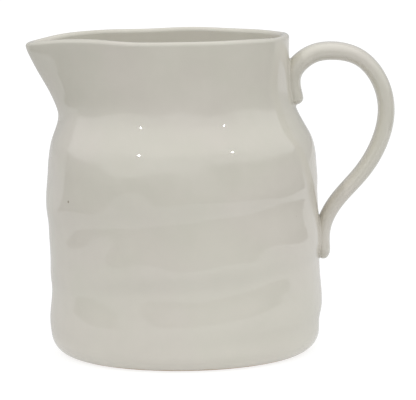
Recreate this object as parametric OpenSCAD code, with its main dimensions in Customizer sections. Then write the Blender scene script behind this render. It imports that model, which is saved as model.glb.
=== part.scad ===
// Hand-made ceramic pitcher: a round belly, a narrower neck, a beak spout
// and a strap handle. Millimetres, +Z up. The origin is the middle of the
// foot, on the surface that the pitcher stands on. The spout points to -X
// and the handle to +X.

/* [Body] */
// Height from the foot to the rim
height = 191; // [180:1:205]
// Radius of the belly where it is widest
belly_r = 81.5; // [78:0.5:86]
// Radius of the neck just under the rim
neck_r = 67.5; // [64:0.5:70]
// Thickness of the wall and of the rim
wall_t = 5; // [4:0.5:6]
// How far the neck leans towards the spout
neck_lean = 2.4; // [0:0.2:4]
// How far the hand-thrown wall wanders in and out
wander = 0.5; // [0:0.1:0.8]
// Depth of the spiral groove that the thrower's fingers leave round the belly
groove_depth = 0.9; // [0:0.1:1.2]
// How far that groove climbs in one turn
groove_pitch = 40; // [35:1:50]

/* [Base] */
// Thickness of the floor
floor_t = 8; // [6:0.5:10]
// Radius of the round edge between the foot and the wall
edge_r = 13; // [11:0.5:15]
// Width of the foot ring
foot_ring_w = 8; // [5:0.5:12]
// Depth of the hollow under the floor, inside the foot ring
hollow_d = 2; // [1:0.5:3]
// Radius of the round corner inside, between the floor and the wall
inner_corner_r = 10; // [6:1:14]

/* [Spout] */
// Reach of the spout's tip from the middle of the neck
spout_reach = 91.5; // [88:0.5:95]
// Slope of the spout's underside, outwards from upright
spout_slope = 25.5; // [23:0.5:28]
// Half of the angle that the spout's own piece takes from the neck
spout_half_angle = 50; // [50:5:60]
// How much lower the tip is than the rim
spout_drop = 3.5; // [0:0.5:4]

/* [Handle] */
// Width of the strap at the top of its arch
strap_w = 21; // [16:1:26]
// Width of the strap where it joins the neck
top_pad_w = 25; // [20:1:30]
// Width of the strap where it joins the belly
low_pad_w = 19; // [14:1:24]
// Thickness of the strap at the top of its arch
strap_t = 11; // [9:0.5:12]
// Thickness of the slip between the handle and the wall
slip_t = 1.5; // [1:0.25:2]
// How far the slip stands out round each end of the handle
bead = 1.5; // [1:0.5:3]

/* [Hidden] */

glaze = "#C9C6BA";
clay = "#B79F80";

// ---- A smooth curve through points [x, y], with x rising ----

function slope(p, i) =
    let (a = max(i - 1, 0), b = min(i + 1, len(p) - 1))
    (p[b][1] - p[a][1]) / (p[b][0] - p[a][0]);

function span_at(p, x, i = 0) =
    i >= len(p) - 2 || x < p[i + 1][0] ? i : span_at(p, x, i + 1);

function curve(p, x) =
    let (
        i = span_at(p, x),
        h = p[i + 1][0] - p[i][0],
        t = (x - p[i][0]) / h
    )
    (2 * t ^ 3 - 3 * t ^ 2 + 1) * p[i][1] + (t ^ 3 - 2 * t ^ 2 + t) * h * slope(p, i)
    + (3 * t ^ 2 - 2 * t ^ 3) * p[i + 1][1] + (t ^ 3 - t ^ 2) * h * slope(p, i + 1);

// 0 below a, 1 above b, and smooth between
function ease(x, a, b) =
    let (t = min(max((x - a) / (b - a), 0), 1))
    t * t * (3 - 2 * t);

// ---- The vessel's surface ----

// Outline above the foot: [share of the height, radius], where 0 is the
// neck's radius and 1 is the belly's
outline = [
    [0.068, 0.97], [0.13, 1], [0.2, 0.985], [0.27, 0.985], [0.36, 0.995], [0.45, 1],
    [0.515, 0.99], [0.575, 0.975], [0.62, 0.93], [0.653, 0.85], [0.68, 0.74],
    [0.7, 0.6], [0.726, 0.41], [0.758, 0.2], [0.79, 0.08], [0.84, 0.01], [0.92, 0], [1, 0]
];
// The middle of each level is off the axis: [share of the height, share of
// neck_lean]
lean = [
    [0, 0], [0.14, -0.2], [0.26, -0.35], [0.36, -0.1], [0.5, 0.35], [0.66, 0.35],
    [0.75, 0.65], [0.83, 1], [1, 1]
];

edge_top_r = neck_r + outline[0][1] * (belly_r - neck_r);

// Radius of the round edge above the foot
function edge_radius(z) = edge_top_r - edge_r + sqrt(edge_r ^ 2 - (edge_r - min(z, edge_r)) ^ 2);

function mean_radius(z) =
    z < edge_r ? edge_radius(z)
    : neck_r + (belly_r - neck_r) * curve(outline, z / height);

// How much the wall leans and wanders at an angle a. The floor's edge is true,
// so this sets in over sway_start above it. It is slightly oval and slightly
// three-sided: each has a turn in degrees, and a twist in degrees per mm.
sway_start = 30;
oval_turn = 50;
oval_twist = 1.3;
three_sided_turn = -20;
three_sided_twist = -2.1;
three_sided_share = 0.7;
function sway(a, z) =
    let (
        two_sided = sin(2 * a + oval_turn + oval_twist * z),
        three_sided = three_sided_share * sin(3 * a + three_sided_turn + three_sided_twist * z)
    )
    ease(z, floor_t, floor_t + sway_start)
    * (-neck_lean * curve(lean, z / height) * cos(a) + wander * (two_sided + three_sided) / 2);

// The spiral groove. It crosses the front at groove_z, climbs towards the
// handle, and is steeper above than below. It sets in over groove_start above
// the floor, fades out under the shoulder, and is deeper low down. Both of
// those changes lie between two shares of the height.
groove_z = 0.453 * height;
groove_steep = 0.32;
groove_deeper = 0.35;
groove_start = 18;
groove_end = [0.51, 0.61];
groove_low = [0.24, 0.37];
function groove(a, z) =
    let (
        turns = (z - groove_z) / groove_pitch - (a + 90) / 360,
        t = turns - floor(turns),
        wave = t < groove_steep
            ? -cos(180 * t / groove_steep)
            : cos(180 * (t - groove_steep) / (1 - groove_steep)),
        start = ease(z, floor_t, floor_t + groove_start),
        fade = start * (1 - ease(z / height, groove_end[0], groove_end[1])),
        deeper = 1 + groove_deeper * (1 - ease(z / height, groove_low[0], groove_low[1]))
    )
    groove_depth * deeper * fade * wave / 2;

// The larger of two lengths, with a smooth change-over; minus soft_max of
// the minus values is the smaller
function soft_max(a, b, soft) = (a + b + sqrt((a - b) ^ 2 + soft ^ 2)) / 2;

// The spout's tip at each height, from the middle of the neck: a straight
// underside that rises out of the neck and turns upright at the lip
spout_turn_z = 0.984 * height;
spout_root_soft = 5.5;
spout_lip_soft = 1.5;
function tip(z) =
    let (line = spout_reach + (z - spout_turn_z) * tan(spout_slope))
    max(
        mean_radius(z),
        -soft_max(-soft_max(line, mean_radius(z), spout_root_soft), -spout_reach, spout_lip_soft)
    );

// The spout in plan is a wedge whose sides touch the neck's circle, with a
// blunt tip. This is its radius as a multiple of the neck's own.
tip_blunt = 7;
function beak(a, z) =
    let (
        off = abs(a - 180),
        side = acos(mean_radius(z) / tip(z)) + tip_blunt,
        soft_off = sqrt(off ^ 2 + tip_blunt ^ 2)
    )
    soft_off < side ? 1 / cos(side - soft_off) : 1;

// The shoulder isn't level: it lies shoulder_drop lower at the angle
// shoulder_low_at, near the front, and as much higher at the back. The slant
// sets in on the belly and ends on the neck, each between two shares of the
// height. This is the height at which the outline is read.
shoulder_drop = 3;
shoulder_low_at = -100;
slant_start = [0.55, 0.61];
slant_end = [0.79, 0.9];
function turned_z(a, z) =
    let (
        share = z / height,
        slant = ease(share, slant_start[0], slant_start[1]) * (1 - ease(share, slant_end[0], slant_end[1]))
    )
    z + shoulder_drop * slant * cos(a - shoulder_low_at);

function outer_r(a, z) = mean_radius(turned_z(a, z)) * beak(a, z) + sway(a, z) + groove(a, z);

function inner_r(a, z) =
    let (
        corner_top = floor_t + inner_corner_r,
        drop = min(z, corner_top) - corner_top,
        corner = inner_corner_r - sqrt(inner_corner_r ^ 2 - drop ^ 2)
    )
    outer_r(a, z) - wall_t * beak(a, z) - corner;

// The rim dips at the spout's very tip and is not quite level. The walls
// under it follow, from rim_follow upwards.
rim_follow = 0.82;
rim_tilt = 0.5;
rim_high_at = 140;
drop_narrow = 30;
function rim_rise(a, z) =
    ease(z, rim_follow * height, height)
    * (rim_tilt * cos(a - rim_high_at) - spout_drop * max(0, -cos(a)) ^ drop_narrow);

// ---- The vessel's shell as a grid of blocks ----

columns = 72;
wall_rows = 28;
rim_r = wall_t / 2;
rim_angles = [30, 58, 80];
rows = wall_rows + len(rim_angles);
rim_start = height - rim_r;
row_z = [for (k = [0 : wall_rows]) floor_t + k * (rim_start - floor_t) / wall_rows];
// the spout's own piece starts at this share of the height
spout_from = 0.7;
spout_row = floor(wall_rows * (spout_from * height - floor_t) / (rim_start - floor_t));
spout_columns = spout_half_angle * columns / 360;

function polar(r, a, z) = [r * cos(a), r * sin(a), z];

// A point of the shell: side is 1 on the outside and -1 on the inside
function shell_point(i, k, side) =
    let (
        a = i * 360 / columns,
        z = row_z[min(k, wall_rows)],
        out = outer_r(a, z),
        in = inner_r(a, z),
        round_a = k > wall_rows ? rim_angles[k - wall_rows - 1] : 0,
        r = (out + in) / 2 + side * (out - in) / 2 * cos(round_a)
    )
    polar(r, a, z + rim_rise(a, z) + rim_r * sin(round_a));

function flat_quad(a, b, c, d) = [[a, b, c], [a, c, d]];
function outside(i, k) = k * columns + i % columns;
function inside(i, k) = (rows + 1 + k) * columns + i % columns;

function in_spout(i, k) = k >= spout_row && abs(i + 0.5 - columns / 2) < spout_columns;
function in_piece(i, k, spout) =
    k >= 0 && k < rows && in_spout((i + columns) % columns, k) == spout;

// The blocks of the wall, or those of the spout, as one closed solid
module shell(spout) {
    points = [
        for (side = [1, -1]) for (k = [0 : rows]) for (i = [0 : columns - 1])
            shell_point(i, k, side)
    ];
    faces = [
        for (k = [0 : rows - 1]) for (i = [0 : columns - 1]) if (in_piece(i, k, spout)) each [
            each flat_quad(outside(i, k), outside(i, k + 1), outside(i + 1, k + 1), outside(i + 1, k)),
            each flat_quad(inside(i, k), inside(i + 1, k), inside(i + 1, k + 1), inside(i, k + 1)),
            if (!in_piece(i, k - 1, spout))
                each flat_quad(outside(i, k), outside(i + 1, k), inside(i + 1, k), inside(i, k)),
            if (!in_piece(i, k + 1, spout))
                each flat_quad(
                    outside(i, k + 1), inside(i, k + 1),
                    inside(i + 1, k + 1), outside(i + 1, k + 1)
                ),
            if (!in_piece(i - 1, k, spout))
                each flat_quad(outside(i, k), inside(i, k), inside(i, k + 1), outside(i, k + 1)),
            if (!in_piece(i + 1, k, spout))
                each flat_quad(
                    outside(i + 1, k), outside(i + 1, k + 1),
                    inside(i + 1, k + 1), inside(i + 1, k)
                )
        ]
    ];
    polyhedron(points, faces);
}

// The vessel filled solid, and grown sideways, to trim the handle against
module filled_vessel(grow) {
    points = [
        for (k = [0 : wall_rows]) for (i = [0 : columns - 1])
            let (a = i * 360 / columns, p = shell_point(i, k, 1))
            p + grow * [cos(a), sin(a), 0]
    ];
    faces = [
        [for (i = [0 : columns - 1]) i],
        for (k = [0 : wall_rows - 1]) for (i = [0 : columns - 1])
            each flat_quad(outside(i, k), outside(i, k + 1), outside(i + 1, k + 1), outside(i + 1, k)),
        for (i = [1 : columns - 2])
            [wall_rows * columns, outside(i + 1, wall_rows), outside(i, wall_rows)]
    ];
    polyhedron(points, faces);
}

// ---- The handle ----

// Stations along the middle of the strap, from its end on the neck, over the
// arch, to its end on the belly: [x, z, thickness, width]
stations = [
    [67.8, 148, strap_t, top_pad_w],
    [67, 152.5, strap_t, top_pad_w],
    [65.5, 159.5, strap_t + 0.3, top_pad_w],
    [66.3, 167.3, strap_t + 0.3, top_pad_w],
    [71.3, 174, strap_t + 0.2, strap_w + 2],
    [79.6, 178.9, strap_t, strap_w],
    [89.6, 180.2, strap_t, strap_w],
    [99.2, 178.9, strap_t - 0.4, strap_w],
    [106.5, 175.8, strap_t - 0.8, strap_w],
    [116.5, 165.2, strap_t - 1, strap_w],
    [122.2, 146.2, strap_t - 1, strap_w],
    [119.5, 129, strap_t - 1, strap_w - 0.5],
    [106.8, 106.3, strap_t - 1.4, strap_w - 1],
    [90.8, 88, strap_t - 1.8, strap_w - 2],
    [84.4, 75, strap_t - 2, low_pad_w],
    [84.2, 54.6, strap_t - 2, low_pad_w]
];
// Height at which the strap leaves the neck, and the belly
top_pad_high = 176;
low_pad_high = 87;
strap_rings = 60;
strap_sides = 20;
// 2 is an ellipse in section, and more is squarer
squareness = 2.4;
// Length over which the strap closes round at each end, and the least share
// of its thickness that is left there
top_cap = 4;
low_cap = 7;
end_left = 0.045;
// How much the rings crowd together towards the ends: 0 is evenly spaced
ring_crowding = 0.7;

// Length along the stations up to each one
function step_to(i) =
    norm([stations[i][0] - stations[i - 1][0], stations[i][1] - stations[i - 1][1]]);
station_s = [
    for (i = 0, s = 0; i < len(stations);
        i = i + 1, s = s + (i < len(stations) ? step_to(i) : 0)) s
];
strap_length = station_s[len(stations) - 1];

function along(s, what) = curve([for (i = [0 : len(stations) - 1]) [station_s[i], stations[i][what]]], s);
function middle(s) = [along(s, 0), along(s, 1)];

// A rounded oval, as a share of the half width and the half thickness
function oval(a) = [
    sign(cos(a)) * abs(cos(a)) ^ (2 / squareness),
    sign(sin(a)) * abs(sin(a)) ^ (2 / squareness)
];

// One ring of the strap, at a length s along it
function ring(s) =
    let (
        ahead = middle(s + 0.5) - middle(s - 0.5),
        normal = [-ahead[1], ahead[0]] / norm(ahead),
        near = min(1, s / top_cap, (strap_length - s) / low_cap),
        close = max(sqrt(max(1 - (1 - near) ^ 2, 0)), end_left),
        half_t = along(s, 2) / 2 * close,
        half_w = along(s, 3) / 2 * close,
        c = middle(s)
    )
    [
        for (j = [0 : strap_sides - 1])
            let (o = oval(j * 360 / strap_sides))
            [c[0] + normal[0] * half_t * o[0], half_w * o[1], c[1] + normal[1] * half_t * o[0]]
    ];

module strap() {
    rings = [
        for (k = [0 : strap_rings])
            let (t = k / strap_rings)
            each ring(strap_length * (t - ring_crowding * sin(360 * t) / (2 * PI)))
    ];
    faces = [
        [for (j = [0 : strap_sides - 1]) j],
        for (k = [0 : strap_rings - 1]) for (j = [0 : strap_sides - 1])
            let (
                a = k * strap_sides + j,
                b = k * strap_sides + (j + 1) % strap_sides
            )
            each flat_quad(a, a + strap_sides, b + strap_sides, b),
        [for (j = [strap_sides - 1 : -1 : 0]) strap_rings * strap_sides + j]
    ];
    polyhedron(rings, faces);
}

// The layer of slip under one end of the handle: a patch of the wall's own
// surface between two heights, slip_t thick, with rounded corners
pad_rings = 4;
pad_sides = 32;

module slip_pad(low_z, high_z, width) {
    half_w = width / 2 + bead;
    half_h = (high_z - low_z) / 2 + bead;
    mid_z = (high_z + low_z) / 2;
    points = [
        for (lift = [slip_t, 0]) each [
            polar(outer_r(0, mid_z) + lift, 0, mid_z),
            for (k = [1 : pad_rings]) for (j = [0 : pad_sides - 1])
                let (
                    o = oval(j * 360 / pad_sides) * k / pad_rings,
                    z = mid_z + half_h * o[1],
                    a = half_w * o[0] / mean_radius(z) * 180 / PI
                )
                polar(outer_r(a, z) + lift, a, z)
        ]
    ];
    under = pad_rings * pad_sides + 1;
    faces = [
        for (j = [0 : pad_sides - 1])
            let (next = (j + 1) % pad_sides, edge = (pad_rings - 1) * pad_sides + 1)
            each [
                [0, 1 + next, 1 + j],
                [under, under + 1 + j, under + 1 + next],
                each flat_quad(edge + j, edge + next, under + edge + next, under + edge + j),
                for (k = [0 : pad_rings - 2])
                    let (p = 1 + k * pad_sides + j, q = 1 + k * pad_sides + next)
                    each [
                        each flat_quad(p, q, q + pad_sides, p + pad_sides),
                        each flat_quad(
                            under + p, under + p + pad_sides,
                            under + q + pad_sides, under + q
                        )
                    ]
            ]
    ];
    polyhedron(points, faces);
}

// ---- The pieces ----

edge_steps = 8;

module base() {
    foot_r = edge_radius(0);
    color(clay) rotate_extrude($fn = 180) polygon([
        [0, hollow_d],
        [foot_r - foot_ring_w - hollow_d, hollow_d],
        [foot_r - foot_ring_w, 0],
        [foot_r, 0],
        // steps up the round edge, closer together near the foot
        for (j = [1 : edge_steps]) let (z = floor_t * (j / edge_steps) ^ 1.6) [edge_radius(z), z],
        [0, floor_t]
    ]);
}

module wall() {
    color(glaze) shell(false);
}

module spout() {
    color(glaze) shell(true);
}

// The strap, trimmed to the face of the slip; its size stays as it is
module handle() {
    color(glaze) resize([0, 0, 0]) difference() {
        strap();
        filled_vessel(slip_t);
    }
}

module upper_joint() {
    color(glaze) slip_pad(stations[0][1], top_pad_high, top_pad_w);
}

module lower_joint() {
    color(glaze) slip_pad(stations[len(stations) - 1][1], low_pad_high, low_pad_w);
}

base();
wall();
spout();
handle();
upper_joint();
lower_joint();
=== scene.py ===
"""A hand-thrown, glazed ceramic pitcher on a plain white studio floor.

Shapes are worked out in millimetres, in the frame of the CAD model: +Z up,
the origin in the middle of the foot, the spout towards -X and the handle
towards +X. They are turned into metres when a mesh is made.
"""
import math

import bpy
import numpy as np
from mathutils import Matrix, Vector


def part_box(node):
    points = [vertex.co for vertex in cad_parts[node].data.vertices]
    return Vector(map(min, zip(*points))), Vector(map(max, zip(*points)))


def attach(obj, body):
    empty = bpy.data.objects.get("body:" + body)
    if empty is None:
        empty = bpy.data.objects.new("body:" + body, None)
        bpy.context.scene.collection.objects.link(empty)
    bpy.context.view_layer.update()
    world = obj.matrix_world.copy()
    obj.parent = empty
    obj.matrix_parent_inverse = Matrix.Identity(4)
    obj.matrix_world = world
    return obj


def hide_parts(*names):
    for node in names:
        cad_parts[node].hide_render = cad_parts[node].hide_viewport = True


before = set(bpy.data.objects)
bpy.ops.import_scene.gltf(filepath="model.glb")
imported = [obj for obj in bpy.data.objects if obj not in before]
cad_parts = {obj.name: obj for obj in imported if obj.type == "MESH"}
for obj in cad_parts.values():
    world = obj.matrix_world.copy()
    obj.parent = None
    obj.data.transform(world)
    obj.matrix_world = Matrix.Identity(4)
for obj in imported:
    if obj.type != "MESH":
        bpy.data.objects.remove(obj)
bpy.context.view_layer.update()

MM = 0.001

# ---- Sizes in millimetres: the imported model's own, and those of part.scad ----


def box_mm(node):
    """Lowest and highest corner of a CAD node in millimetres."""
    low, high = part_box(node)
    return np.array(low) / MM, np.array(high) / MM


floor_t = box_mm("base")[1][2]
seam_z = box_mm("spout")[0][2]
height = 191.0
belly_r = 81.5
neck_r = 67.5
wall_t = 5.0
neck_lean = 2.4
wander = 0.5
shoulder_drop = 3.0
shoulder_low_at = -100.0
edge_r = 13.0
foot_ring_w = 8.0
hollow_d = 2.0
inner_corner_r = 10.0
spout_reach = 91.5
spout_slope = 25.5
spout_half_angle = 50.0
spout_drop = 3.5
tip_blunt = 7.0
spout_turn_z = 0.984 * height
spout_root_soft = 5.5
spout_lip_soft = 1.5
rim_r = wall_t / 2
rim_start = height - rim_r

strap_w = 21.0
strap_t = 11.0
top_pad_w = 25.0
low_pad_w = 19.0
squareness = 2.4


# ---- Curves and smooth steps ----


def ease(x, low, high):
    """0 below low, 1 above high, smooth between."""
    t = np.clip((np.asarray(x, float) - low) / (high - low), 0, 1)
    return t * t * (3 - 2 * t)


def soft_max(a, b, soft):
    return (a + b + np.sqrt((a - b) ** 2 + soft**2)) / 2


class Spline:
    """A natural cubic spline through points [x, y], with x rising."""

    def __init__(self, points):
        p = np.asarray(points, float)
        self.x, self.y = p[:, 0], p[:, 1]
        n, h = len(p), np.diff(p[:, 0])
        system, known = np.eye(n), np.zeros(n)
        for i in range(1, n - 1):
            system[i, i - 1 : i + 2] = h[i - 1], 2 * (h[i - 1] + h[i]), h[i]
            rises = np.diff(self.y)[i - 1 : i + 1] / h[i - 1 : i + 1]
            known[i] = 6 * (rises[1] - rises[0])
        self.bend = np.linalg.solve(system, known)

    def __call__(self, x):
        x = np.asarray(x, float)
        i = np.clip(np.searchsorted(self.x, x) - 1, 0, len(self.x) - 2)
        h = self.x[i + 1] - self.x[i]
        a, b = (self.x[i + 1] - x) / h, (x - self.x[i]) / h
        bend = (a**3 - a) * self.bend[i] + (b**3 - b) * self.bend[i + 1]
        return a * self.y[i] + b * self.y[i + 1] + bend * h * h / 6


def blurred(values, sigma):
    """Values smoothed by a Gaussian, with their ends held."""
    reach = int(4 * sigma) + 1
    weights = np.exp(-0.5 * (np.arange(-reach, reach + 1) / sigma) ** 2)
    padded = np.pad(values, reach, mode="edge")
    return np.convolve(padded, weights / weights.sum(), mode="valid")


# ---- The vessel's surface ----

# [height share, radius share from the neck to the belly], as in part.scad
outline = Spline([
    [0.068, 0.97], [0.13, 1.0], [0.2, 0.985], [0.27, 0.985], [0.36, 0.995], [0.45, 1.0],
    [0.515, 0.99], [0.575, 0.975], [0.62, 0.93], [0.653, 0.85], [0.68, 0.74],
    [0.7, 0.6], [0.726, 0.41], [0.758, 0.2], [0.79, 0.08], [0.84, 0.01], [0.92, 0], [1, 0],
])
lean = Spline([
    [0, 0], [0.14, -0.2], [0.26, -0.35], [0.36, -0.1], [0.5, 0.35], [0.66, 0.35],
    [0.75, 0.65], [0.83, 1], [1, 1],
])
outline_start = float(outline.x[0])
edge_top_r = neck_r + float(outline(outline_start)) * (belly_r - neck_r)


def edge_radius(z):
    """Radius of the round edge above the foot."""
    return edge_top_r - edge_r + np.sqrt(edge_r**2 - (edge_r - np.minimum(z, edge_r)) ** 2)


# The outline is tabled, so that its corners can be eased above the round edge
table_step = 0.25
eased_from, eased_to = 6, 14
easing_steps = 8
table_z = np.arange(0, height + table_step, table_step)
rough_radius = np.where(
    table_z < edge_r,
    edge_radius(table_z),
    neck_r + (belly_r - neck_r) * outline(np.maximum(table_z / height, outline_start)),
)
eased = ease(table_z, eased_from, eased_to)
table_radius = (1 - eased) * rough_radius + eased * blurred(rough_radius, easing_steps)


def mean_radius(z):
    return np.interp(z, table_z, table_radius)


ring_pitch = 40.0
ring_depth = 0.9
ring_z = 86.5
ring_steep = 0.32
ring_deeper = 0.35
ring_start = 18
ring_end = (0.51, 0.61)
ring_low = (0.24, 0.37)


def throwing_rings(a, z):
    """The spiral groove that a thrower's fingers leave, steeper above than below."""
    from_front = (a + 270) % 360 - 180
    turn = ((z - ring_z - ring_pitch * from_front / 360) / ring_pitch) % 1
    rise = -np.cos(math.pi * turn / ring_steep) / 2
    fall = np.cos(math.pi * (turn - ring_steep) / (1 - ring_steep)) / 2
    fade = ease(z, floor_t, floor_t + ring_start) * (1 - ease(z / height, *ring_end))
    deeper = 1 + ring_deeper * (1 - ease(z / height, *ring_low))
    return ring_depth * deeper * fade * np.where(turn < ring_steep, rise, fall)


wave_seed = 2435
wave_count = 22
wave_turns = 13
wave_radius = 80.0
wave_lengths = (24, 80)
wave_tilt = math.radians(0.55)
waves_from, waves_full = 8, 30


def hand_waves():
    """Turns round the wall, rate up it, phase and height of each slow wave, all as steep."""
    rng = np.random.default_rng(wave_seed)
    waves = []
    for k in range(wave_count):
        turns = int(rng.integers(-wave_turns, wave_turns + 1))
        rate = 2 * math.pi / rng.uniform(*wave_lengths) * (1 if k % 2 else -1)
        steep = math.hypot(turns / wave_radius, rate)
        waves.append((turns, rate, rng.uniform(0, 2 * math.pi), wave_tilt / steep))
    return waves


WAVES = hand_waves()


def waviness(a, z):
    a_rad = np.radians(a)
    total = 0 * a_rad + 0 * z
    for turns, rate, phase, size in WAVES:
        total = total + size * np.sin(turns * a_rad + rate * z + phase)
    return total * ease(z, waves_from, waves_full)


# Slightly oval and slightly three-sided: turn in degrees, twist in degrees per mm
sway_start = 30
oval_turn, oval_twist = 50, 1.3
three_sided_turn, three_sided_twist = -20, -2.1
three_sided_share = 0.7


def sway(a, z):
    """How much the wall wanders and leans; nothing at the foot."""
    two_sided = np.sin(np.radians(2 * a + oval_turn + oval_twist * z))
    three_sided = np.sin(np.radians(3 * a + three_sided_turn + three_sided_twist * z))
    wave = two_sided + three_sided_share * three_sided
    shift = -neck_lean * lean(z / height) * np.cos(np.radians(a)) + wander * wave / 2
    return ease(z, floor_t, floor_t + sway_start) * shift


def tip(z):
    """Reach of the spout's underside, from the middle of the neck."""
    line = spout_reach + (z - spout_turn_z) * math.tan(math.radians(spout_slope))
    upright = -soft_max(-soft_max(line, mean_radius(z), spout_root_soft), -spout_reach, spout_lip_soft)
    return np.maximum(mean_radius(z), upright)


def beak(a, z):
    """The wedge of the spout in plan, as a multiple of the neck's radius."""
    off = np.abs((a % 360) - 180)
    side = np.degrees(np.arccos(mean_radius(z) / tip(z))) + tip_blunt
    soft_off = np.sqrt(off**2 + tip_blunt**2)
    return np.where(soft_off < side, 1 / np.cos(np.radians(np.maximum(side - soft_off, 0))), 1)


slant_start = (0.55, 0.61)
slant_end = (0.79, 0.9)


def turned_z(a, z):
    """Where the outline is read: the shoulder lies lower on the front than at the back."""
    slant = ease(z / height, *slant_start) * (1 - ease(z / height, *slant_end))
    return z + shoulder_drop * slant * np.cos(np.radians(a) - math.radians(shoulder_low_at))


def even_r(a, z):
    """The outer wall's radius without the small waves."""
    return mean_radius(turned_z(a, z)) * beak(a, z) + sway(a, z) + throwing_rings(a, z)


def outer_r(a, z):
    return even_r(a, z) + waviness(a, z)


def inner_r(a, z):
    corner_top = floor_t + inner_corner_r
    drop = np.minimum(z, corner_top) - corner_top
    corner = inner_corner_r - np.sqrt(inner_corner_r**2 - drop**2)
    return even_r(a, z) - wall_t * beak(a, z) - corner


rim_follow = 0.82
rim_tilt = 0.5
rim_high_at = math.radians(140)
drop_narrow = 30
# [height, waves round the rim, phase]
rim_ripples = [(0.25, 5, 1), (0.15, 8, 2)]


def rim_rise(a, z):
    """The rim dips at the spout and isn't quite level."""
    a_rad = np.radians(a)
    tilt = rim_tilt * np.cos(a_rad - rim_high_at)
    dip = spout_drop * np.maximum(0, -np.cos(a_rad)) ** drop_narrow
    ripple = sum(size * np.sin(count * a_rad + phase) for size, count, phase in rim_ripples)
    return ease(z, rim_follow * height, height) * (tilt - dip + ripple)


# ---- Meshes ----


def make_piece(name, points, faces, material, node, normals=None):
    """A smooth closed mesh from points in millimetres, in place of a CAD node."""
    mesh = bpy.data.meshes.new(name)
    mesh.from_pydata((np.asarray(points) * MM).tolist(), [], faces)
    mesh.validate()
    mesh.polygons.foreach_set("use_smooth", [True] * len(mesh.polygons))
    if normals is not None:
        mesh.normals_split_custom_set(normals)
    mesh.materials.append(material)
    piece = bpy.data.objects.new(name, mesh)
    bpy.context.scene.collection.objects.link(piece)
    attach(piece, "root")
    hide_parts(node)
    return piece


def grid_normals(grid):
    """Unit normals of a grid [row, column, xyz] whose columns go all the way round."""
    along = np.gradient(grid, axis=0)
    around = np.roll(grid, -1, axis=1) - np.roll(grid, 1, axis=1)
    normal = np.cross(around, along)
    return normal / np.maximum(np.linalg.norm(normal, axis=2, keepdims=True), 1e-12)


columns = 288
column_a = np.arange(columns) * 360 / columns
corner_rows = 14
wall_row_step = 1.3
neck_rows = 46
rim_rows = 10


def row_heights():
    """Rows crowd where the inner corner is tight, and one lies on the seam."""
    corner = floor_t + inner_corner_r * np.linspace(0, 1, corner_rows) ** 2
    wall = np.arange(corner[-1], seam_z, wall_row_step)[1:-1]
    neck = np.linspace(seam_z, rim_start, neck_rows)
    return np.concatenate([corner, wall, neck])


row_z = row_heights()
rim_angles = np.linspace(0, 90, rim_rows)[1:]
rows = len(row_z) + len(rim_angles)


def shell_grid(side):
    """The outside (1) or the inside (-1) of the vessel, up to the rim's crest."""
    a = column_a[None, :]
    z = np.concatenate([row_z, np.full(len(rim_angles), rim_start)])[:, None]
    round_a = np.radians(np.concatenate([np.zeros(len(row_z)), rim_angles]))[:, None]
    out, inside = outer_r(a, z), inner_r(a, z)
    r = (out + inside) / 2 + side * (out - inside) / 2 * np.cos(round_a)
    a_rad = np.radians(a)
    height_z = z + rim_rise(a, z) + rim_r * np.sin(round_a)
    return np.stack([r * np.cos(a_rad), r * np.sin(a_rad), height_z + 0 * r], axis=2)


outside = shell_grid(1)
inside = shell_grid(-1)
whole_section = np.concatenate([inside, outside[::-1][1:]])
section_normals = -grid_normals(whole_section)
inside_normals = section_normals[:rows]
outside_normals = section_normals[rows - 1 :][::-1]


def shell_piece(name, node, material, in_piece):
    """The blocks of the shell for which in_piece(column angle, height) is true."""
    middle_a = column_a + 180 / columns
    low_z = np.concatenate([row_z, np.full(len(rim_angles), height)])[:-1]
    kept = in_piece(middle_a[None, :], low_z[:, None]) & np.ones((rows - 1, columns), bool)
    faces, normals = [], []
    shift = rows * columns

    def out_id(k, i):
        return k * columns + i % columns

    def in_id(k, i):
        k_id = k * columns + i % columns
        return k_id if k == rows - 1 else shift + k_id

    flat_out = outside_normals.reshape(-1, 3)
    flat_in = inside_normals.reshape(-1, 3)

    def add(ids, smooth):
        ids = [v for n, v in enumerate(ids) if v not in ids[:n]]
        if len(ids) < 3:
            return
        faces.append(ids)
        for v in ids:
            if not smooth:
                normals.append((0, 0, 0))
            elif v < shift:
                normals.append(flat_out[v])
            else:
                normals.append(flat_in[v - shift])

    for k in range(rows - 1):
        for i in np.nonzero(kept[k])[0]:
            i = int(i)
            add([out_id(k, i), out_id(k, i + 1), out_id(k + 1, i + 1), out_id(k + 1, i)], True)
            add([in_id(k, i), in_id(k + 1, i), in_id(k + 1, i + 1), in_id(k, i + 1)], True)
            if k == 0 or not kept[k - 1, i]:
                add([out_id(k, i), in_id(k, i), in_id(k, i + 1), out_id(k, i + 1)], False)
            if k + 1 < rows - 1 and not kept[k + 1, i]:
                add([out_id(k + 1, i), out_id(k + 1, i + 1), in_id(k + 1, i + 1), in_id(k + 1, i)], False)
            if not kept[k, i - 1]:
                add([out_id(k, i), out_id(k + 1, i), in_id(k + 1, i), in_id(k, i)], False)
            if not kept[k, (i + 1) % columns]:
                add([out_id(k, i + 1), in_id(k, i + 1), in_id(k + 1, i + 1), out_id(k + 1, i + 1)], False)

    points = np.concatenate([outside.reshape(-1, 3), inside.reshape(-1, 3)])
    used = sorted({v for f in faces for v in f})
    new_id = {v: n for n, v in enumerate(used)}
    faces = [[new_id[v] for v in f] for f in faces]
    return make_piece(name, points[used], faces, material, node, normals)


def in_spout(a, z):
    return (z >= seam_z - 0.01) & (np.abs(a - 180) < spout_half_angle)


def in_wall(a, z):
    return ~in_spout(a, z)


# The foot's small bevel, and the spiral that the thrower's finger leaves on the floor,
# which fades out over swirl_fade and ends swirl_clear before the wall
foot_bevel = 0.7
swirl_depth = 0.22
swirl_pitch = 8
swirl_clear = 2
swirl_fade = 12


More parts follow.
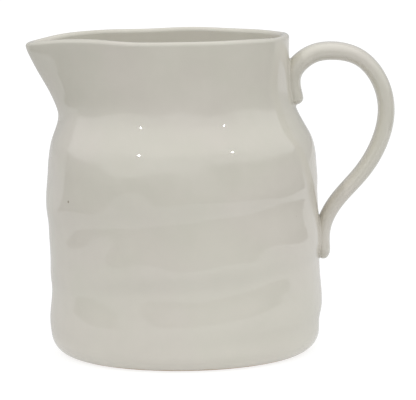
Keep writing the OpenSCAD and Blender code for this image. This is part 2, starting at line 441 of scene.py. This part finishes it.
def base_piece(material):
    """The floor slab: a hollow underside, the foot ring, the round edge and the floor inside."""
    foot_r = float(edge_radius(0))
    ring_in = foot_r - foot_ring_w
    edge_z = floor_t * np.linspace(0, 1, 22)[1:] ** 1.8
    # The hollow underside, and its round step down to the foot ring
    section = [[r, hollow_d] for r in np.linspace(2, ring_in - 2 * hollow_d, 12)]
    section += [[ring_in - hollow_d, 0.8 * hollow_d], [ring_in - 0.4 * hollow_d, 0.4 * hollow_d]]
    # The ring, its bevel and the round edge above it
    section += [[ring_in + 0.3, 0.08], [ring_in + 1.5, 0], [foot_r - foot_bevel, 0], [foot_r + 0.1, 0.02]]
    section += [[float(mean_radius(z)), z] for z in edge_z if z > 0.05]
    edge_end = len(section) - 1
    # The top: the seam under the wall, then the floor inside
    floor_edge = float(inner_r(90.0, floor_t))
    section += [[r, floor_t] for r in np.linspace(float(mean_radius(floor_t)) - 3, floor_edge + 1, 4)]
    section += [[r, floor_t] for r in np.linspace(floor_edge - 1, 1.5, 46)]
    section = np.array(section)
    a_rad = np.radians(column_a)[None, :]
    r, z = section[:, :1], section[:, 1:]
    swirl = swirl_depth * np.sin(2 * math.pi * r / swirl_pitch + a_rad)
    swirl = swirl * ease(floor_edge - swirl_clear - r, 0, swirl_fade) * ease(r, 0, swirl_pitch)
    on_floor = np.arange(len(section))[:, None] > edge_end
    z = z + np.where(on_floor, swirl, 0)
    grid = np.stack([r * np.cos(a_rad), r * np.sin(a_rad), z + 0 * a_rad], axis=2)
    low_normals = grid_normals(grid[: edge_end + 1])
    high_normals = grid_normals(grid[edge_end:])
    count = len(section)
    points = np.concatenate([grid.reshape(-1, 3), [[0, 0, hollow_d]], [[0, 0, floor_t]]])
    faces, normals = [], []
    for k in range(count - 1):
        side = low_normals[k : k + 2] if k < edge_end else high_normals[k - edge_end : k - edge_end + 2]
        for i in range(columns):
            j = (i + 1) % columns
            faces.append([k * columns + i, k * columns + j, (k + 1) * columns + j, (k + 1) * columns + i])
            normals += [side[0, i], side[0, j], side[1, j], side[1, i]]
    low_centre, high_centre = count * columns, count * columns + 1
    for i in range(columns):
        j = (i + 1) % columns
        faces.append([low_centre, j, i])
        normals += [(0, 0, -1)] * 3
        faces.append([high_centre, (count - 1) * columns + i, (count - 1) * columns + j])
        normals += [(0, 0, 1)] * 3
    return make_piece("base_slab", points, faces, material, "base", normals)


# ---- The handle ----

# [x, z, thickness, width] along the middle of the strap, as in part.scad
stations = np.array([
    [67.8, 148, strap_t, top_pad_w],
    [67, 152.5, strap_t, top_pad_w],
    [65.5, 159.5, strap_t + 0.3, top_pad_w],
    [66.3, 167.3, strap_t + 0.3, top_pad_w],
    [71.3, 174, strap_t + 0.2, strap_w + 2],
    [79.6, 178.9, strap_t, strap_w],
    [89.6, 180.2, strap_t, strap_w],
    [99.2, 178.9, strap_t - 0.4, strap_w],
    [106.5, 175.8, strap_t - 0.8, strap_w],
    [116.5, 165.2, strap_t - 1, strap_w],
    [122.2, 146.2, strap_t - 1, strap_w],
    [119.5, 129, strap_t - 1, strap_w - 0.5],
    [106.8, 106.3, strap_t - 1.4, strap_w - 1],
    [90.8, 88, strap_t - 1.8, strap_w - 2],
    [84.4, 75, strap_t - 2, low_pad_w],
    [84.2, 54.6, strap_t - 2, low_pad_w],
])
station_s = np.concatenate([[0], np.cumsum(np.linalg.norm(np.diff(stations[:, :2], axis=0), axis=1))])
strap_length = station_s[-1]
along = [Spline(np.column_stack([station_s, stations[:, k]])) for k in range(4)]
# How long each rounded end is, and the heights of the middles of the two joints
top_cap = 4.0
low_cap = 7.0
top_joint_z = 161.0
low_joint_z = 69.0


def strap_frame(s):
    """Middle (x, z), outward normal (x, z), half thickness and half width."""
    middle = np.stack([along[0](s), along[1](s)], axis=-1)
    tangent = np.stack([line(s + 0.5) - line(s - 0.5) for line in along[:2]], axis=-1)
    tangent /= np.linalg.norm(tangent, axis=-1, keepdims=True)
    normal = np.stack([-tangent[..., 1], tangent[..., 0]], axis=-1)
    near = np.minimum(1, np.minimum(s / top_cap, (strap_length - s) / low_cap))
    close = np.sqrt(np.maximum(1 - (1 - near) ** 2, 0))
    return middle, normal, along[2](s) / 2 * close, along[3](s) / 2 * close


# The strap is scanned along its length. Its field divides by field_least or more, and
# grows by 1 over field_end past the strap's end
scan_steps = 1200
field_least = 0.2
field_end = 3
scan_middle, scan_normal, scan_t, scan_w = strap_frame(np.linspace(0, strap_length, scan_steps))


def strap_field(p):
    """Below 1 inside the strap and above 1 outside, for points [n, xyz]."""
    flat = p[:, [0, 2]]
    gap = np.linalg.norm(flat[:, None, :] - scan_middle[None], axis=2)
    near = np.argmin(gap, axis=1)
    off = np.abs(np.sum((flat - scan_middle[near]) * scan_normal[near], axis=1))
    beyond = np.sqrt(np.maximum(gap[np.arange(len(p)), near] ** 2 - off**2, 0))
    t, w = np.maximum(scan_t[near], field_least), np.maximum(scan_w[near], field_least)
    oval = (off / t) ** squareness + (np.abs(p[:, 1]) / w) ** squareness
    return oval ** (1 / squareness) + beyond / field_end


def wall_point(u, v, lift):
    """The point of the outer wall at arc u and height v, lifted off it."""
    a = np.degrees(u / mean_radius(v))
    r = outer_r(a, v) + lift
    return np.stack([r * np.cos(np.radians(a)), r * np.sin(np.radians(a)), v], axis=-1)


# How much the rings crowd together towards the ends, and how deep the strap's
# inner side goes into the wall
ring_crowding = 0.75
sunk = 0.4


def handle_piece(material):
    """The strap, with what would lie inside the wall drawn out to its surface."""
    rings, sides, least_half = 260, 56, 0.3
    t = np.linspace(0, 1, rings + 1)
    s = strap_length * (t - np.sin(2 * math.pi * t) / (2 * math.pi) * ring_crowding)
    middle, normal, half_t, half_w = strap_frame(s)
    a = np.linspace(0, 2 * math.pi, sides, endpoint=False)
    power = 2 / squareness
    out = np.sign(np.cos(a)) * np.abs(np.cos(a)) ** power
    side = np.sign(np.sin(a)) * np.abs(np.sin(a)) ** power
    half_t, half_w = np.maximum(half_t, least_half), np.maximum(half_w, least_half)
    x = middle[:, :1] + normal[:, :1] * half_t[:, None] * out
    z = middle[:, 1:] + normal[:, 1:] * half_t[:, None] * out
    y = half_w[:, None] * side
    angle = np.degrees(np.arctan2(y, x))
    least = outer_r(angle, z) - sunk
    push = np.maximum(1, least / np.hypot(x, y))
    grid = np.stack([x * push, y * push, z], axis=2)
    points = np.concatenate([grid.reshape(-1, 3), [grid[0].mean(0)], [grid[-1].mean(0)]])
    faces = []
    for k in range(rings):
        for i in range(sides):
            j = (i + 1) % sides
            faces.append([k * sides + i, (k + 1) * sides + i, (k + 1) * sides + j, k * sides + j])
    first, last = len(points) - 2, len(points) - 1
    for i in range(sides):
        j = (i + 1) % sides
        faces.append([first, i, j])
        faces.append([last, rings * sides + j, rings * sides + i])
    return make_piece("strap_handle", points, faces, material, "handle")


# The strap's surface is looked for up to this far, in a gap that is halved this often
farthest = 40.0
halvings = 26


def reach_of(pad_z, angle, lift):
    """How far from the pad's middle the strap's surface lies, along each angle on the wall."""
    low, high = np.zeros(len(angle)), np.full(len(angle), farthest)
    for _ in range(halvings):
        mid = (low + high) / 2
        p = wall_point(mid * np.sin(angle), pad_z + mid * np.cos(angle), lift)
        outside_strap = strap_field(p) > 1
        high = np.where(outside_strap, mid, high)
        low = np.where(outside_strap, low, mid)
    return (low + high) / 2


def blurred_round(values, sigma=2.0, reach=6):
    """Values on a closed loop, smoothed by a Gaussian."""
    weights = np.exp(-0.5 * (np.arange(-reach, reach + 1) / sigma) ** 2)
    wrapped = np.concatenate([values[-reach:], values, values[:reach]])
    return np.convolve(wrapped, weights / weights.sum(), mode="valid")


# [share of the width, waves round the fillet, phase]
fillet_ripples = [(0.12, 3, 1), (0.08, 7, 2)]
# The crease lies at most this many rises further in than the fillet's upper edge
crease_limit = 2.5
# How deep the fillet's outer edge and its back go into the wall, and how far its
# upper edge and its back go in under the strap's surface
edge_sunk = 0.05
back_sunk = 0.3
edge_under = 0.15
back_under = 1.5


def joint_piece(name, node, material, pad_z, spread, rise):
    """The fillet of slip round one end of the handle, spread mm wide and rise mm high."""
    count, steps = 160, 10
    angle = np.linspace(0, 2 * math.pi, count, endpoint=False)
    crease = blurred_round(reach_of(pad_z, angle, 0.0))
    risen = blurred_round(reach_of(pad_z, angle, rise))
    crease = np.maximum(crease, risen - crease_limit * rise)
    wave = 1
    for share, turns, phase in fillet_ripples:
        wave = wave + share * np.sin(turns * angle + phase)

    def at(reach, lift):
        return wall_point(reach * np.sin(angle), pad_z + reach * np.cos(angle), lift)

    start = at(crease + spread * wave, -edge_sunk)
    corner = at(crease, 0.0)
    end = at(risen - edge_under, rise)
    t = np.linspace(0, 1, steps)[:, None, None]
    curve = (1 - t) ** 2 * start + 2 * t * (1 - t) * corner + t**2 * end
    buried = at(np.minimum(crease, risen) - back_under, -back_sunk)
    rings = np.concatenate([curve, buried[None]])
    points = rings.reshape(-1, 3)
    faces = []
    total = len(rings)
    for k in range(total):
        for i in range(count):
            j = (i + 1) % count
            up = (k + 1) % total
            faces.append([k * count + i, k * count + j, up * count + j, up * count + i])
    return make_piece(name, points, faces, material, node)


# ---- Materials ----


class Nodes:
    """A short way to write a node tree."""

    def __init__(self, tree):
        self.tree = tree
        tree.nodes.clear()

    def add(self, kind, **settings):
        node = self.tree.nodes.new(kind)
        for key, value in settings.items():
            setattr(node, key, value)
        return node

    def link(self, source, target):
        self.tree.links.new(source, target)

    def fill(self, node, values):
        """Set each numbered input of a node to a value, or link it to an output."""
        for slot, value in values.items():
            if isinstance(value, (int, float, tuple)):
                node.inputs[slot].default_value = value
            elif value is not None:
                self.link(value, node.inputs[slot])

    def math(self, operation, a, b=None, c=None):
        node = self.add("ShaderNodeMath", operation=operation)
        self.fill(node, {0: a, 1: b, 2: c})
        return node.outputs[0]

    def step(self, value, low, high):
        """0 at low and 1 at high, smooth between."""
        node = self.add("ShaderNodeMapRange", interpolation_type="SMOOTHSTEP")
        self.link(value, node.inputs["Value"])
        node.inputs["From Min"].default_value = low
        node.inputs["From Max"].default_value = high
        return node.outputs["Result"]

    def mix(self, share, a, b, blend="MIX"):
        node = self.add("ShaderNodeMix", data_type="RGBA", blend_type=blend)
        self.fill(node, {0: share, 6: a, 7: b})
        return node.outputs[2]

    def scalar_mix(self, share, a, b):
        node = self.add("ShaderNodeMix", data_type="FLOAT")
        self.fill(node, {0: share, 2: a, 3: b})
        return node.outputs[0]

    def noise(self, vector, scale, detail=3.0, roughness=0.5):
        node = self.add("ShaderNodeTexNoise")
        self.link(vector, node.inputs["Vector"])
        node.inputs["Scale"].default_value = scale
        node.inputs["Detail"].default_value = detail
        node.inputs["Roughness"].default_value = roughness
        return node.outputs[0]


GLAZE = (0.71, 0.682, 0.614, 1)
GLAZE_THIN = (0.738, 0.706, 0.632, 1)
GLAZE_DEEP = (0.688, 0.663, 0.592, 1)
# Two faint tints that the glaze's colour is multiplied by, in turn over the surface
GLAZE_ROSY = (1.006, 0.997, 1.0, 1)
GLAZE_GREEN = (0.992, 1.002, 0.985, 1)
SPECK = (0.22, 0.17, 0.11, 1)
CLAY = (0.42, 0.30, 0.19, 1)
CLAY_GRAIN = (0.52, 0.39, 0.26, 1)
GLAZE_IOR = 1.55
GLAZE_ROUGHNESS = (0.02, 0.045)
CLAY_ROUGHNESS = 0.85
THIN_SHARE = 0.3
SPECK_SHARE = 0.7
# The heights in metres over which bare clay gives way to glaze, and how much higher
# the ragged edge can reach
BARE_FOOT = (0.0003, 0.0008)
BARE_RAGGED = 0.0012
BUMP_STRENGTH = 0.12
BUMP_DEPTH = 0.004
PEEL_SHARE = 0.015
# Noise patterns: cells per metre, detail and roughness
CLOUDS = (14, 4, 0.55)
FINE_CLOUDS = (90, 3, 0.6)
HUES = (17, 3, 0.5)
SLOW_WAVES = (26, 2, 0.45)
ORANGE_PEEL = (420, 2, 0.5)
GLOSS = (200, 3, 0.6)
FOOT_EDGE = (120, 3, 0.6)
GRAIN = (900, 2, 0.6)
# Specks: cells per metre, the distance in cells over which a speck fades out, and the
# draw, from 0 to 1, above which a cell has one
SPECK_CELLS = 60
SPECK_SIZE = (0.03, 0.06)
SPECK_RARE = (0.93, 0.96)


def glaze_colour(n, place):
    """Warm off-white: cloudy, a little thinner and deeper in places, with few specks."""
    cloud = n.step(n.noise(place, *CLOUDS), 0.35, 0.7)
    fine = n.step(n.noise(place, *FINE_CLOUDS), 0.3, 0.75)
    colour = n.mix(cloud, GLAZE_DEEP, GLAZE)
    hue = n.step(n.noise(place, *HUES), 0.38, 0.62)
    colour = n.mix(1.0, colour, n.mix(hue, GLAZE_ROSY, GLAZE_GREEN), "MULTIPLY")
    colour = n.mix(n.math("MULTIPLY", fine, THIN_SHARE), colour, GLAZE_THIN)
    cells = n.add("ShaderNodeTexVoronoi", feature="F1")
    n.link(place, cells.inputs["Vector"])
    cells.inputs["Scale"].default_value = SPECK_CELLS
    dot = n.math("SUBTRACT", 1.0, n.step(cells.outputs["Distance"], *SPECK_SIZE))
    rare = n.add("ShaderNodeSeparateColor")
    n.link(cells.outputs["Color"], rare.inputs[0])
    chosen = n.step(rare.outputs[0], *SPECK_RARE)
    speck = n.math("MULTIPLY", n.math("MULTIPLY", dot, chosen), SPECK_SHARE)
    return n.mix(speck, colour, SPECK)


def glaze_bump(n, place):
    """Slow waves of the thick glaze over a fine orange peel."""
    waves = n.noise(place, *SLOW_WAVES)
    peel = n.noise(place, *ORANGE_PEEL)
    bump = n.add("ShaderNodeBump")
    bump.inputs["Strength"].default_value = BUMP_STRENGTH
    bump.inputs["Distance"].default_value = BUMP_DEPTH
    n.link(n.math("MULTIPLY_ADD", peel, PEEL_SHARE, waves), bump.inputs["Height"])
    return bump.outputs["Normal"]


def glaze_material(name, bare_foot):
    material = bpy.data.materials.new(name)
    material.use_nodes = True
    n = Nodes(material.node_tree)
    place = n.add("ShaderNodeTexCoord").outputs["Object"]
    colour = glaze_colour(n, place)
    rough = n.add("ShaderNodeMapRange")
    n.link(n.noise(place, *GLOSS), rough.inputs["Value"])
    rough.inputs["To Min"].default_value = GLAZE_ROUGHNESS[0]
    rough.inputs["To Max"].default_value = GLAZE_ROUGHNESS[1]
    roughness = rough.outputs["Result"]
    shader = n.add("ShaderNodeBsdfPrincipled")
    shader.inputs["IOR"].default_value = GLAZE_IOR
    if bare_foot:
        low = n.add("ShaderNodeSeparateXYZ")
        n.link(place, low.inputs[0])
        ragged = n.math("MULTIPLY", n.noise(place, *FOOT_EDGE), BARE_RAGGED)
        glazed = n.step(n.math("SUBTRACT", low.outputs[2], ragged), *BARE_FOOT)
        bare = n.math("SUBTRACT", 1.0, glazed)
        grain = n.step(n.noise(place, *GRAIN), 0.3, 0.7)
        clay = n.mix(grain, CLAY, CLAY_GRAIN)
        colour = n.mix(bare, colour, clay)
        roughness = n.math("MAXIMUM", roughness, n.math("MULTIPLY", bare, CLAY_ROUGHNESS))
    n.link(colour, shader.inputs["Base Color"])
    n.link(roughness, shader.inputs["Roughness"])
    n.link(glaze_bump(n, place), shader.inputs["Normal"])
    out = n.add("ShaderNodeOutputMaterial")
    n.link(shader.outputs[0], out.inputs["Surface"])
    return material


# ---- The studio ----

# The white table ends TABLE_FRONT metres from the pitcher towards the camera, and
# TABLE_SIDE to each side. A backdrop fills what lies behind two lines that run from
# the middle with the slope BACKDROP_SLOPE, and there the table has no end.
TABLE_FRONT = 0.58
TABLE_SIDE = 0.5
BACKDROP_SLOPE = 0.6
TABLE_EDGE = 0.005
FLOOR_SIZE = 12.0
ROOM_TONE = (1.0, 0.97, 0.92, 1)
# How brightly each part of the surroundings shines on the pitcher; FLOOR_SEEN and
# FLOOR_SEEN_COLOUR are the floor as the camera sees it
TABLE_GLOW = 0.23
TABLE_GLOW_MORE_RIGHT = 0.18
FOOT_GLOW = 0.125
FOOT_GLOW_R = (0.088, 0.12)
FLOOR_COLOUR = (0.42, 0.42, 0.42, 1)
FLOOR_SEEN_COLOUR = (0.3, 0.3, 0.3, 1)
FLOOR_SEEN = 0.79
ROOM_LOW = 0.177
ROOM_CLUTTER = 0.088
ROOM_HIGH = 0.885
SIDE_LOW = 0.22
SIDE_HIGH = 1.0
BACKDROP = 0.5
OVERHEAD = 1.13
WINDOW = 1.0
# The heights of view, as sines, between which one part gives way to the next
HIGH_FROM = (0.14, 0.24)
WINDOW_FROM = (0.535, 0.56)
OVERHEAD_FROM = (0.76, 0.84)
# Where the front of the room gives way to its sides, on a scale round the pitcher
# that runs from -1 towards the camera to 1 away from it
FRONT_REACH = (-0.56, -0.44)
# Where the window begins, on the opposite scale: 1 is towards the camera
WINDOW_REACH = (0.54, 0.56)
BACKDROP_SOFT = 0.015
CLUTTER_SCALE = 4.0
CLUTTER_UPWARDS = 0.8
CLUTTER_EDGE = (0.47, 0.53)


def studio_floor():
    """A large pale floor. Reflections see it as a white table in a darker room."""
    mesh = bpy.data.meshes.new("studio_floor")
    corners = [(x * FLOOR_SIZE, y * FLOOR_SIZE, 0) for x, y in ((-1, -1), (1, -1), (1, 1), (-1, 1))]
    mesh.from_pydata(corners, [], [[0, 1, 2, 3]])
    floor = bpy.data.objects.new("studio_floor", mesh)
    bpy.context.scene.collection.objects.link(floor)
    material = bpy.data.materials.new("studio_floor")
    material.use_nodes = True
    n = Nodes(material.node_tree)
    place = n.add("ShaderNodeTexCoord").outputs["Object"]
    axes = n.add("ShaderNodeSeparateXYZ")
    n.link(place, axes.inputs[0])
    aside = n.math("ABSOLUTE", axes.outputs[0])
    towards_camera = n.math("MULTIPLY", axes.outputs[1], -1.0)
    past_front = n.step(towards_camera, TABLE_FRONT - TABLE_EDGE, TABLE_FRONT + TABLE_EDGE)
    past_side = n.step(aside, TABLE_SIDE - TABLE_EDGE, TABLE_SIDE + TABLE_EDGE)
    past_line = n.math("MULTIPLY_ADD", aside, -BACKDROP_SLOPE, axes.outputs[1])
    behind = n.step(past_line, -2 * TABLE_EDGE, 2 * TABLE_EDGE)
    room_side = n.math("SUBTRACT", 1.0, behind)
    seen = n.add("ShaderNodeLightPath").outputs["Is Camera Ray"]
    far = n.math("MULTIPLY", n.math("MAXIMUM", past_front, past_side), room_side)
    far = n.math("MULTIPLY", far, n.math("SUBTRACT", 1.0, seen))
    white = n.add("ShaderNodeBsdfDiffuse")
    lift = n.add("ShaderNodeEmission")
    lift.inputs["Color"].default_value = (1, 1, 1, 1)
    off_centre = n.add("ShaderNodeVectorMath", operation="LENGTH")
    n.link(place, off_centre.inputs[0])
    near_foot = n.step(off_centre.outputs["Value"], FOOT_GLOW_R[1], FOOT_GLOW_R[0])
    to_right = n.step(axes.outputs[0], -TABLE_SIDE, TABLE_SIDE)
    glow = n.math("MULTIPLY_ADD", to_right, TABLE_GLOW_MORE_RIGHT, TABLE_GLOW)
    glow = n.math("MULTIPLY_ADD", near_foot, FOOT_GLOW, glow)
    n.link(n.scalar_mix(seen, glow, FLOOR_SEEN), lift.inputs["Strength"])
    n.link(n.mix(seen, FLOOR_COLOUR, FLOOR_SEEN_COLOUR), white.inputs["Color"])
    lit = n.add("ShaderNodeAddShader")
    n.link(white.outputs[0], lit.inputs[0])
    n.link(lift.outputs[0], lit.inputs[1])
    room = n.add("ShaderNodeEmission")
    room.inputs["Color"].default_value = ROOM_TONE
    room.inputs["Strength"].default_value = ROOM_LOW
    both = n.add("ShaderNodeMixShader")
    n.link(far, both.inputs[0])
    n.link(lit.outputs[0], both.inputs[1])
    n.link(room.outputs[0], both.inputs[2])
    out = n.add("ShaderNodeOutputMaterial")
    n.link(both.outputs[0], out.inputs["Surface"])
    mesh.materials.append(material)


def studio_world():
    """A pale backdrop and ceiling, and a dimmer room with a lit upper part on the camera's side."""
    world = bpy.data.worlds.new("studio")
    world.use_nodes = True
    bpy.context.scene.world = world
    n = Nodes(world.node_tree)
    direction = n.add("ShaderNodeTexCoord").outputs["Generated"]
    axes = n.add("ShaderNodeSeparateXYZ")
    n.link(direction, axes.inputs[0])
    x, y, z = axes.outputs
    level = n.math("SQRT", n.math("ADD", n.math("POWER", x, 2.0), n.math("POWER", y, 2.0)))
    away = n.math("DIVIDE", y, level)
    aside = n.math("DIVIDE", x, level)
    panels = n.add("ShaderNodeCombineXYZ")
    n.link(aside, panels.inputs[0])
    n.link(n.math("MULTIPLY", z, CLUTTER_UPWARDS), panels.inputs[1])
    n.link(away, panels.inputs[2])
    clutter = n.step(n.noise(panels.outputs[0], CLUTTER_SCALE, 2, 0.5), *CLUTTER_EDGE)
    low = n.math("MULTIPLY_ADD", clutter, 2 * ROOM_CLUTTER, ROOM_LOW - ROOM_CLUTTER)
    raised = n.step(z, *HIGH_FROM)
    front = n.math("MULTIPLY_ADD", raised, ROOM_HIGH - ROOM_LOW, low)
    side = n.math("MULTIPLY_ADD", raised, SIDE_HIGH - SIDE_LOW, SIDE_LOW)
    around = n.scalar_mix(n.step(away, *FRONT_REACH), front, side)
    edge = BACKDROP_SLOPE / math.hypot(1, BACKDROP_SLOPE)
    behind = n.step(away, edge - BACKDROP_SOFT, edge + BACKDROP_SOFT)
    around = n.scalar_mix(behind, around, BACKDROP)
    in_front = n.step(n.math("MULTIPLY", away, -1.0), *WINDOW_REACH)
    window = n.math("MULTIPLY", n.step(z, *WINDOW_FROM), in_front)
    strength = n.scalar_mix(window, around, WINDOW)
    strength = n.scalar_mix(n.step(z, *OVERHEAD_FROM), strength, OVERHEAD)
    path = n.add("ShaderNodeLightPath")
    strength = n.math("MAXIMUM", strength, path.outputs["Is Camera Ray"])
    back = n.add("ShaderNodeBackground")
    back.inputs["Color"].default_value = (1, 1, 1, 1)
    n.link(strength, back.inputs["Strength"])
    out = n.add("ShaderNodeOutputWorld")
    n.link(back.outputs[0], out.inputs["Surface"])


LAMP_TARGET = (0, 0, 0.11)
LAMP_ELEVATION = 34
LAMP_DISTANCE = 2.4
LAMP_POWER = 5.0


def lamp(name, azimuth, size):
    """A round lamp, size metres wide. Azimuth 0 is towards the camera, 90 to the right."""
    data = bpy.data.lights.new(name, "AREA")
    data.shape = "DISK"
    data.size = size
    data.energy = LAMP_POWER
    light = bpy.data.objects.new(name, data)
    bpy.context.scene.collection.objects.link(light)
    a, e = math.radians(azimuth), math.radians(LAMP_ELEVATION)
    direction = Vector((math.sin(a) * math.cos(e), -math.cos(a) * math.cos(e), math.sin(e)))
    light.location = Vector(LAMP_TARGET) + direction * LAMP_DISTANCE
    light.rotation_euler = (-direction).to_track_quat("-Z", "Y").to_euler()


def studio_lights():
    lamp("lamp_left", -41, 0.07)
    lamp("lamp_right", 48, 0.075)


CAMERA_PLACE = (0.0146, -1.52, 0.286)
CAMERA_TARGET = (0.0146, 0, 0.091)
CAMERA_LENS = 219.9375
CAMERA_ROLL = -0.0125


def studio_camera():
    """A long lens a little above the pitcher, slightly rolled."""
    data = bpy.data.cameras.new("camera")
    data.sensor_width = 36
    data.lens = CAMERA_LENS
    camera = bpy.data.objects.new("camera", data)
    bpy.context.scene.collection.objects.link(camera)
    camera.location = CAMERA_PLACE
    look = (Vector(CAMERA_TARGET) - camera.location).to_track_quat("-Z", "Y")
    roll = Matrix.Rotation(CAMERA_ROLL, 4, "Z")
    camera.matrix_world = Matrix.Translation(camera.location) @ look.to_matrix().to_4x4() @ roll
    bpy.context.scene.camera = camera


# ---- Put it together ----

glaze = glaze_material("glaze", False)
glaze_foot = glaze_material("glaze_and_bare_foot", True)
shell_piece("vessel_wall", "wall", glaze, in_wall)
shell_piece("beak_spout", "spout", glaze, in_spout)
base_piece(glaze_foot)
handle_piece(glaze)
joint_piece("neck_joint", "upper_joint", glaze, top_joint_z, 2.2, 2.0)
joint_piece("belly_joint", "lower_joint", glaze, low_joint_z, 2.0, 1.8)
studio_floor()
studio_world()
studio_lights()
studio_camera()
bpy.context.scene.view_settings.view_transform = "Standard"
